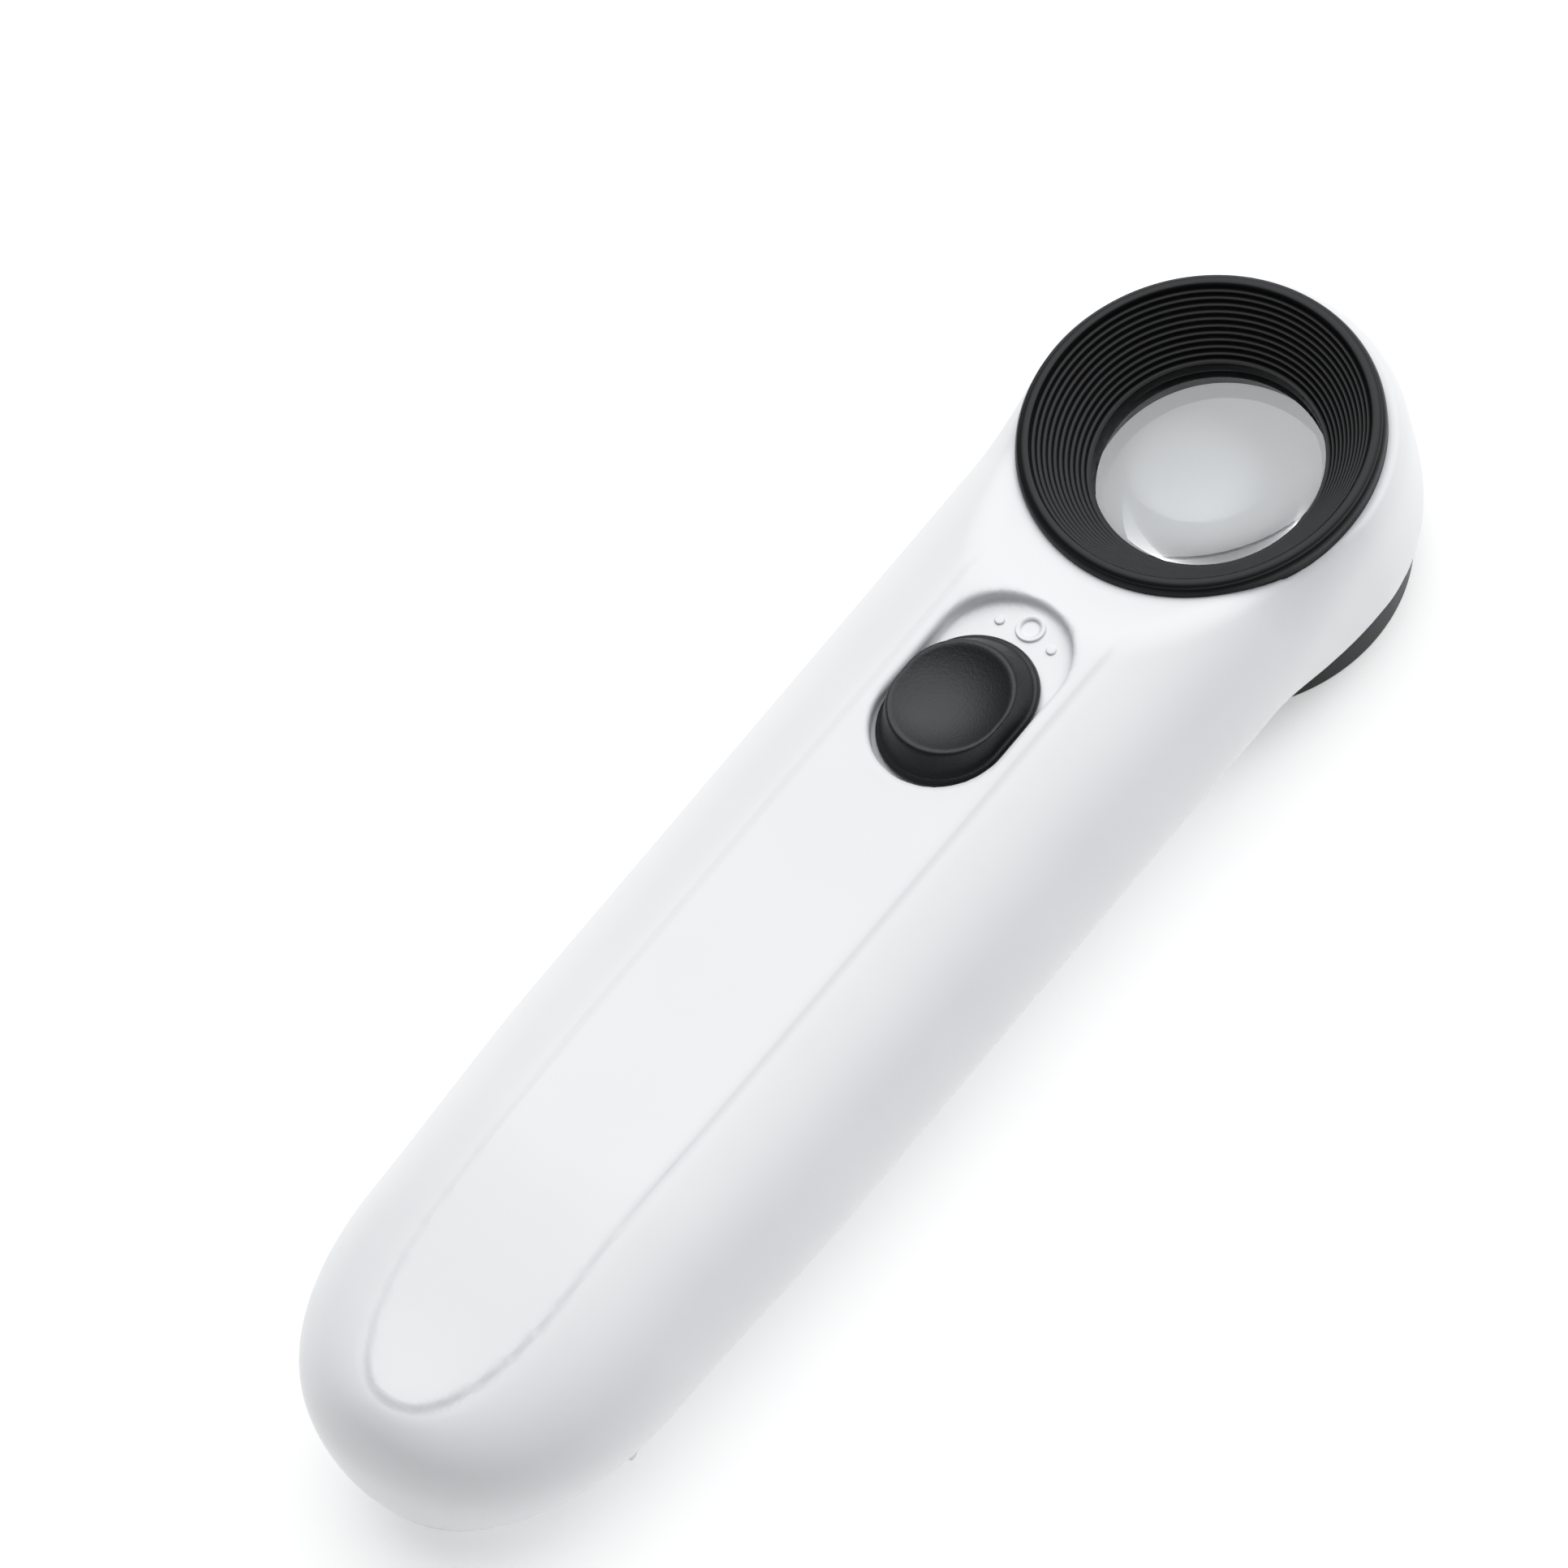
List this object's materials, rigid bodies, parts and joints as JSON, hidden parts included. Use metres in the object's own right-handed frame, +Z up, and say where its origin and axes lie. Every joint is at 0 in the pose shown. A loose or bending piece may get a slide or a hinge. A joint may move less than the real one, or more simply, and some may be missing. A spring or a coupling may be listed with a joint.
{
  "type": "hand magnifier",
  "caption": "One-handed illuminated low vision magnifier: round head with funnel eyecup and lens over a light hood, straight handle with slide switch and battery door.",
  "frame": {"origin": "bottom centre of the bounding box, on the plane that the hood stands on", "axes": "+X along the handle towards the head, +Z up through the lens towards the eyecup"},
  "size_m": [0.164, 0.0428, 0.029],
  "materials": {
    "white_plastic": "satin moulded, very fine spark texture",
    "black_plastic": "matte moulded",
    "button_plastic": "fine matte texture",
    "lens_glass": "polished clear",
    "pcb": "solder mask",
    "phenolic": "bare board",
    "led": "clear epoxy",
    "resistor_body": "lacquered",
    "steel": "nickel plated",
    "brass": "bright",
    "cell_sleeve": "printed sleeve",
    "white_nylon": "natural nylon",
    "wire_red": "pvc insulation",
    "wire_black": "pvc insulation"
  },
  "bodies": {
    "handle": {"upper_shell": "white_plastic", "lower_shell": "white_plastic", "eyecup": "black_plastic", "lens_retainer": "black_plastic", "hood": "black_plastic", "lens": "lens_glass", "led_board": "pcb", "led_left": "led", "led_right": "led", "resistor": "resistor_body", "battery_1": "cell_sleeve", "battery_2": "cell_sleeve", "battery_3": "cell_sleeve", "battery_springs": "steel", "contact_positive": "steel", "contact_negative": "steel", "contact_bridge_front": "steel", "contact_bridge_rear": "steel", "switch_plate": "phenolic", "switch_terminals": "brass", "switch_screws": "steel", "wire_positive": "wire_red", "wire_switched": "wire_red", "wire_negative": "wire_black", "shell_screws": "steel"},
    "switch": {"switch_button": "button_plastic", "switch_carriage": "white_nylon", "switch_wiper": "brass"},
    "door": {"battery_door": "white_plastic"}
  },
  "joints": [
    {"name": "switch_slide", "type": "slide", "parent": "handle", "child": "switch", "axis": [1, 0, 0], "range_m": [0, 0.0048]},
    {"name": "door_hinge", "type": "hinge", "parent": "handle", "child": "door", "pos_m": [-0.0102, 0, 0.0001], "axis": [0, -1, 0], "range_deg": [0, 60]}
  ]
}
